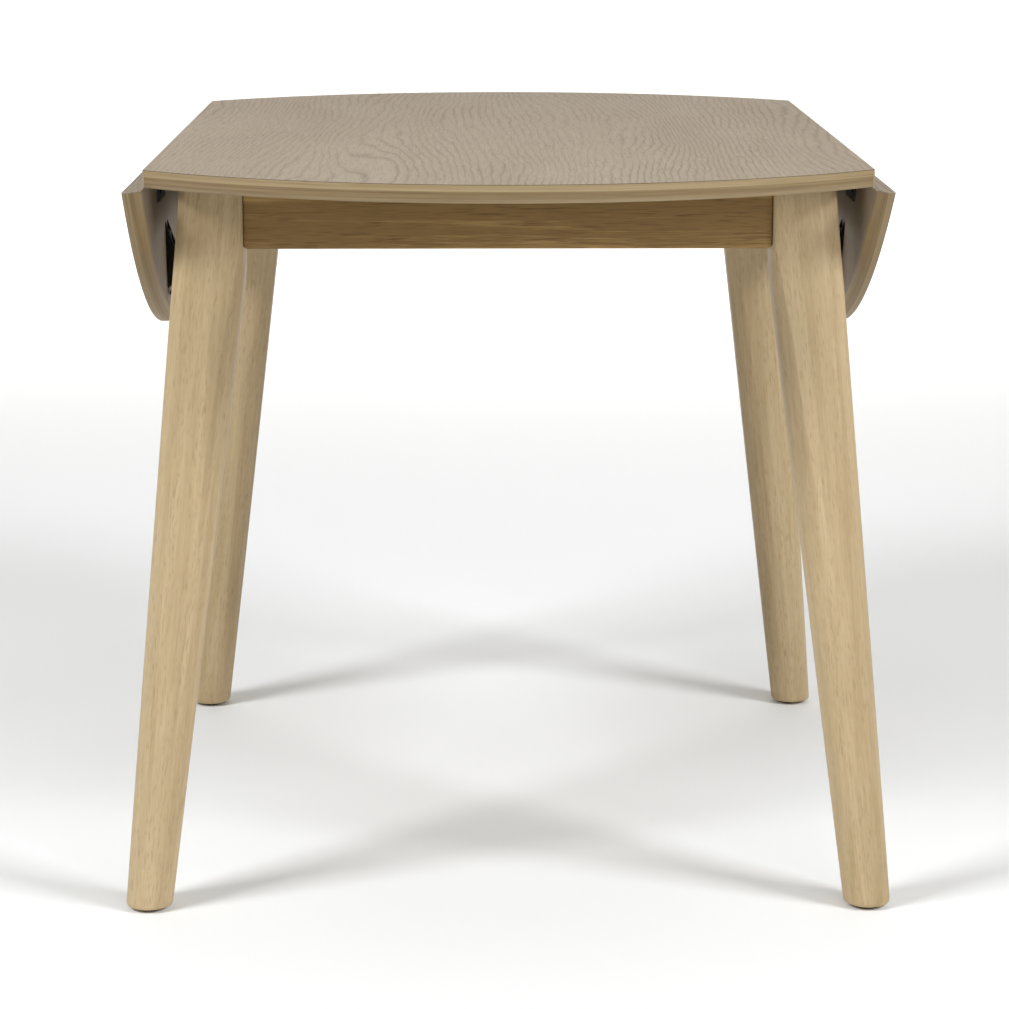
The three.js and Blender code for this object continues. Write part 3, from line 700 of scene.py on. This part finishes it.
def add_frame_parts():
    """Aprons, corner blocks, glides and hardware."""
    quarter = math.radians(90.0)
    # The aprons' darker, more saturated oak is partly painted shade under the top.
    for end, seed in (("front", 2.3), ("rear", 5.9)):
        oak = solid_oak(f"oak_apron_{end}", lambda g: g.place((0.0, 0.0, quarter)), APRON_OAK_AND_SHADE,
                        seed, APRON_CONTRAST, APRON_PORE_SHARE, FINE_PORES)
        keep_node(f"apron_{end}", oak, APRON_EDGE, 3)
    for side, seed in (("left", 8.1), ("right", 11.7)):
        oak = solid_oak(f"oak_apron_{side}", lambda g: g.place(), APRON_OAK_AND_SHADE,
                        seed, APRON_CONTRAST, APRON_PORE_SHARE, FINE_PORES)
        keep_node(f"apron_{side}", oak, APRON_EDGE, 3)
    pine = solid_oak("block_wood", lambda g: g.place((quarter, 0.0, 0.0)), BLOCK_PINE, 3.1, 0.8)
    zinc = zinc_steel()
    coat = black_coat("black_powder_coat", (0.55, 0.7), 2600.0)
    plastic = black_coat("black_plastic", (0.5, 0.65), 4200.0)
    dull = black_coat("dull_steel", (0.5, 0.6), 3000.0, 28.0)
    # Each part with its material and the width of its softened edges.
    parts = (
        ("corner_block", pine, 0.001), ("foot_glide", plastic, 0.0005),
        ("leg_nut", zinc, 0.0004), ("leg_bolt", zinc, 0.0003),
        ("hinge_plate_fixed", dull, 0.0002), ("hinge_plate_leaf", dull, 0.0002),
        ("hinge_pin", dull, 0.0002), ("stay_pin", zinc, 0.0004),
        ("stay_bracket", coat, 0.0005), ("stay_arm", coat, 0.0005), ("stay_catch", coat, 0.0005),
    )
    for place in PLACES:
        for part, material, edge in parts:
            keep_node(f"{part}_{place}", material, edge)
    add_all_screws(coat, zinc)


# ---- Screws -------------------------------------------------------------------------------------

HINGE_Y, HINGE_SCREW_IN, HINGE_SCREW_PITCH = 0.212, 0.017, 0.022
HINGE_PLATE_FACE_Z = 0.7302
STAY_Y, STAY_Z = 0.166, 0.7012
BRACKET_FACE_X, BRACKET_SCREW = 0.3187, 0.0125
BLOCK_FACE, BLOCK_SCREW = 0.35112, 0.046  # along the diagonal, and to each side of the bolt
HINGE_HEAD, BRACKET_HEAD, BLOCK_HEAD = 0.0031, 0.0028, 0.0042  # radii
# Shares of the head's radius: dome as radius and height, recess as half width and length.
DOME = ((1.0, -0.1), (1.0, 0.05), (0.93, 0.2), (0.78, 0.31))
RECESS_TOP, RECESS_TOP_HEIGHT = (0.13, 0.55), 0.36
RECESS_FLOOR, RECESS_FLOOR_HEIGHT = (0.09, 0.4), 0.02


def recess_ring(half_width, length):
    """A cross in plan, six points to a quarter turn."""
    corner = math.atan(half_width / length)
    middle = 0.5 * (corner + 0.25 * math.pi)
    ring = []
    for quarter in range(4):
        for angle in (0.0, corner, middle, 0.25 * math.pi, 0.5 * math.pi - middle,
                      0.5 * math.pi - corner):
            near = min(angle, 0.5 * math.pi - angle)
            reach = length / math.cos(near) if near <= corner else half_width / math.sin(near)
            turned = angle + 0.5 * math.pi * quarter
            ring.append((reach * math.cos(turned), reach * math.sin(turned)))
    return ring


def add_screws(name, body, slot_name, material, radius, places, side=None):
    """Domed heads with a cross recess, one for each place: where it sits and which way it faces."""
    mesh = bmesh.new()
    plan = [Vector(point).normalized() for point in recess_ring(*RECESS_TOP)]
    for spot, facing in places:
        turn = Vector(facing).to_track_quat("Z", "Y").to_matrix()
        rings = [[(p.x * share, p.y * share, rise) for p in plan] for share, rise in DOME]
        rings.append([(x, y, RECESS_TOP_HEIGHT) for x, y in recess_ring(*RECESS_TOP)])
        rings.append([(x, y, RECESS_FLOOR_HEIGHT) for x, y in recess_ring(*RECESS_FLOOR)])
        stack_rings(mesh, [[Vector(spot) + turn @ (Vector(point) * radius) for point in ring]
                           for ring in rings])
    piece = mesh_object(name, mesh)
    smooth(piece)
    if side:
        hang(piece, side)
    finish_piece(piece, body, slot_name, material)


def add_all_screws(black, zinc):
    for place in PLACES:
        end, side = place.split("_")
        sign_x, sign_y = (1 if side == "right" else -1), (1 if end == "rear" else -1)
        along = [sign_y * (HINGE_Y + k * HINGE_SCREW_PITCH) for k in (-1, 0, 1)]
        fixed = sign_x * (HINGE_LINE_X - HINGE_SCREW_IN)
        add_screws(f"hinge_screws_fixed_{place}", "frame", "black_steel", black, HINGE_HEAD,
                   [((fixed, y, HINGE_PLATE_FACE_Z), (0, 0, -1)) for y in along])
        # Leaf screws are placed on the level right leaf; hang() turns them to their own side.
        swinging = HINGE_LINE_X + HINGE_SCREW_IN
        add_screws(f"hinge_screws_leaf_{place}", f"leaf_{side}", "black_steel", black, HINGE_HEAD,
                   [((swinging, sign_x * y, HINGE_PLATE_FACE_Z), (0, 0, -1)) for y in along], side)
        corners = [(i * BRACKET_SCREW, j * BRACKET_SCREW) for i in (-1, 1) for j in (-1, 1)]
        add_screws(f"bracket_screws_{place}", "frame", "black_steel", black, BRACKET_HEAD,
                   [((sign_x * BRACKET_FACE_X, sign_y * STAY_Y + y, STAY_Z + z), (sign_x, 0, 0))
                    for y, z in corners])
        out, across = Vector((sign_x, sign_y, 0)), Vector((-sign_y, sign_x, 0))
        middle = out.normalized() * BLOCK_FACE + Vector((0, 0, 0.5 * (APRON_BOTTOM_Z + LEG_TOP_Z)))
        add_screws(f"block_screws_{place}", "frame", "zinc_steel", zinc, BLOCK_HEAD,
                   [(middle + across.normalized() * k * BLOCK_SCREW, -out) for k in (-1, 1)])


# ---- Build --------------------------------------------------------------------------------------

bpy.context.scene.view_settings.view_transform = "Standard"
add_camera()
add_studio()
add_floor()
banding = oak_veneer("oak_banding", 21.3)
add_top(oak_veneer("oak_veneer_top", 4.2), edge_lipping("oak_lipping_top", 1.0), banding)
for leaf_side, leaf_seed in (("left", 9.5), ("right", 13.4)):
    add_leaf(leaf_side, oak_veneer(f"oak_veneer_{leaf_side}", leaf_seed),
             edge_lipping(f"oak_lipping_{leaf_side}", leaf_seed), banding)
leg_oak = solid_oak("oak_leg", lambda g: g.grain(), LEG_OAK, 0.7, 1.6, 0.5)
for leg_place in PLACES:
    add_leg(leg_place, leg_oak)
add_frame_parts()
